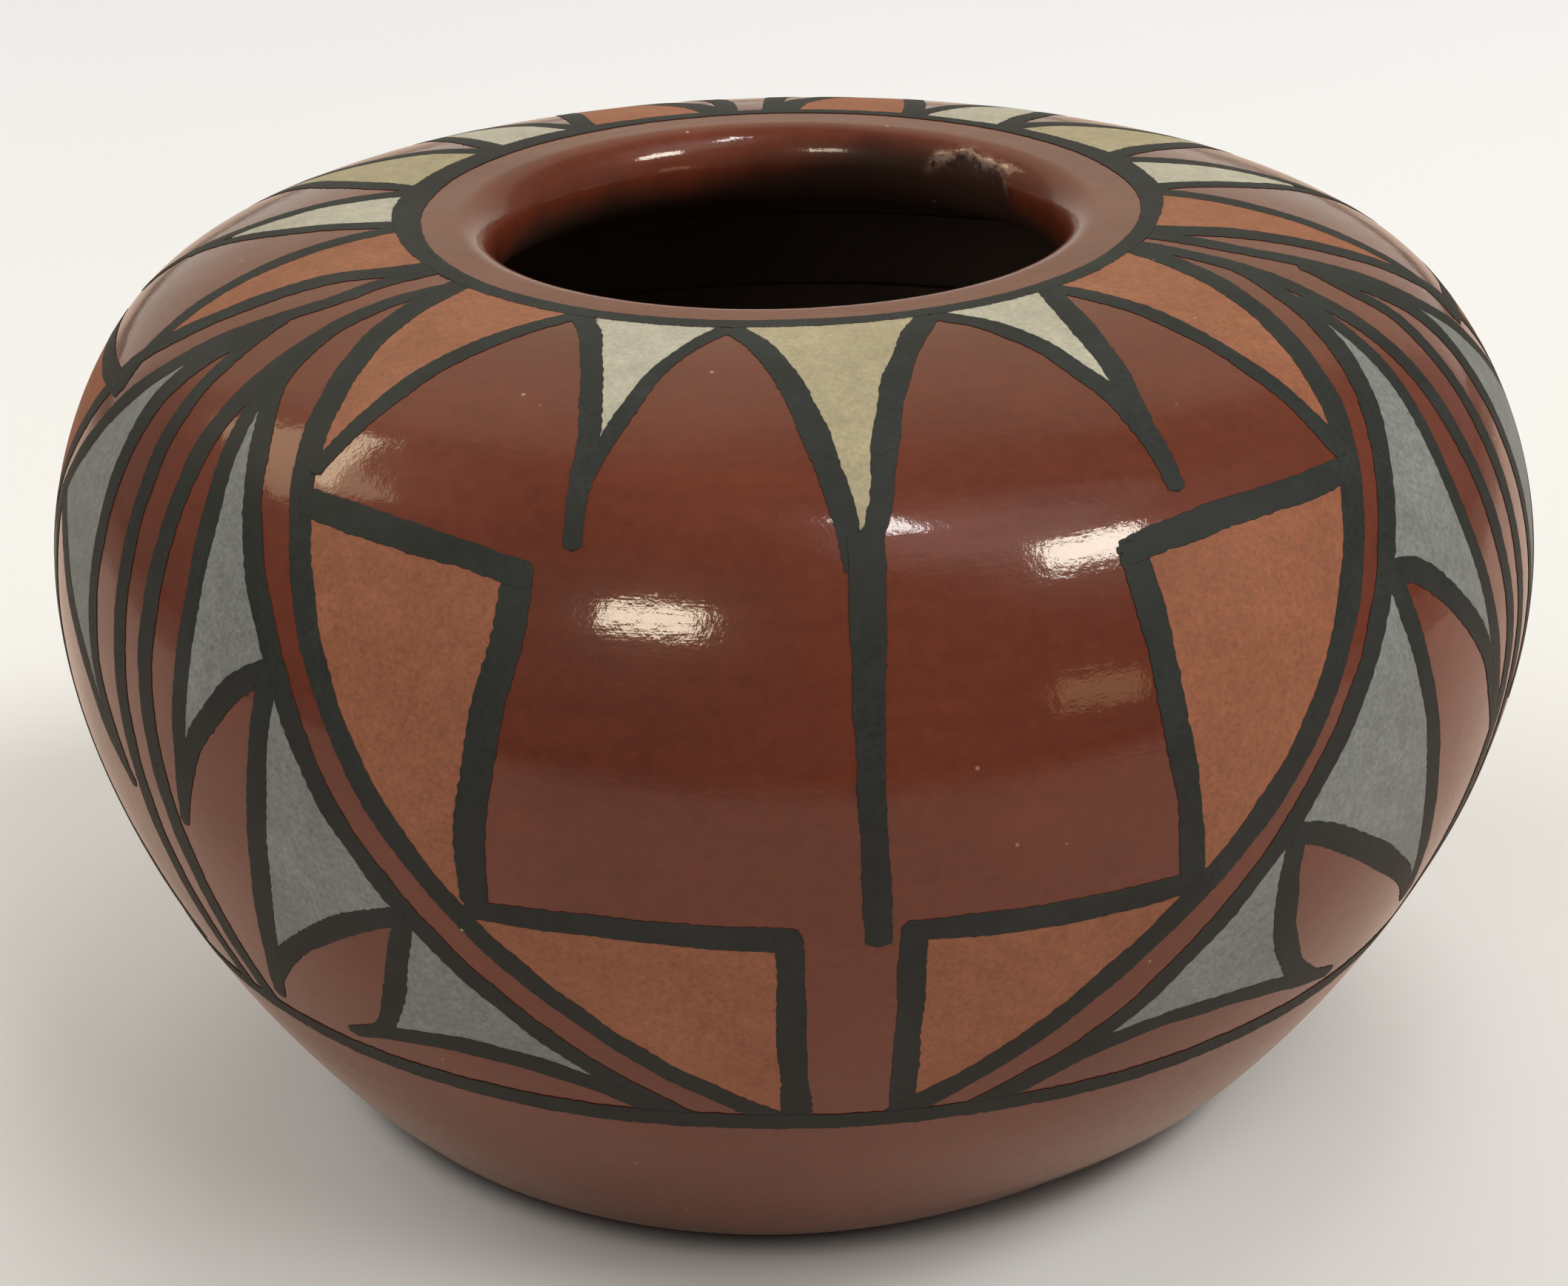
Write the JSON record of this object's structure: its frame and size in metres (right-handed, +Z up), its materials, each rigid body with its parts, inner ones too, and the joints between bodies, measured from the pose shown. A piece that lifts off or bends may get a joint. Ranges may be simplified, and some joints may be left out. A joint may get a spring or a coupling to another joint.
{
  "type": "pottery bowl",
  "caption": "Hand-coiled earthenware bowl with a wide belly, level shoulder and small round mouth, red slip polished to a shine and painted with feather and step motifs.",
  "frame": {"origin": "centre of the flat resting face under the bowl", "axes": "+Z up through the middle of the mouth, -Y towards the painted panel that faces the viewer, +X to the viewer's right"},
  "size_m": [0.127, 0.127, 0.0762],
  "materials": {
    "bare_clay": "scraped, unslipped fired earthenware, matt",
    "red_slip": "red slip polished with a stone, glossy",
    "black_paint": "brushed black slip, matt",
    "ochre_paint": "brushed ochre slip, matt",
    "cream_paint": "brushed cream slip, matt",
    "grey_paint": "brushed blue-grey slip, matt"
  },
  "bodies": {
    "root": {"base_dish": "bare_clay", "wall_coil_1": "bare_clay", "wall_coil_2": "bare_clay", "wall_coil_3": "bare_clay", "wall_coil_4": "bare_clay", "wall_coil_5": "bare_clay", "wall_coil_6": "bare_clay", "wall_coil_7": "bare_clay", "rim_coil": "bare_clay", "red_slip": "red_slip"}
  },
  "joints": []
}
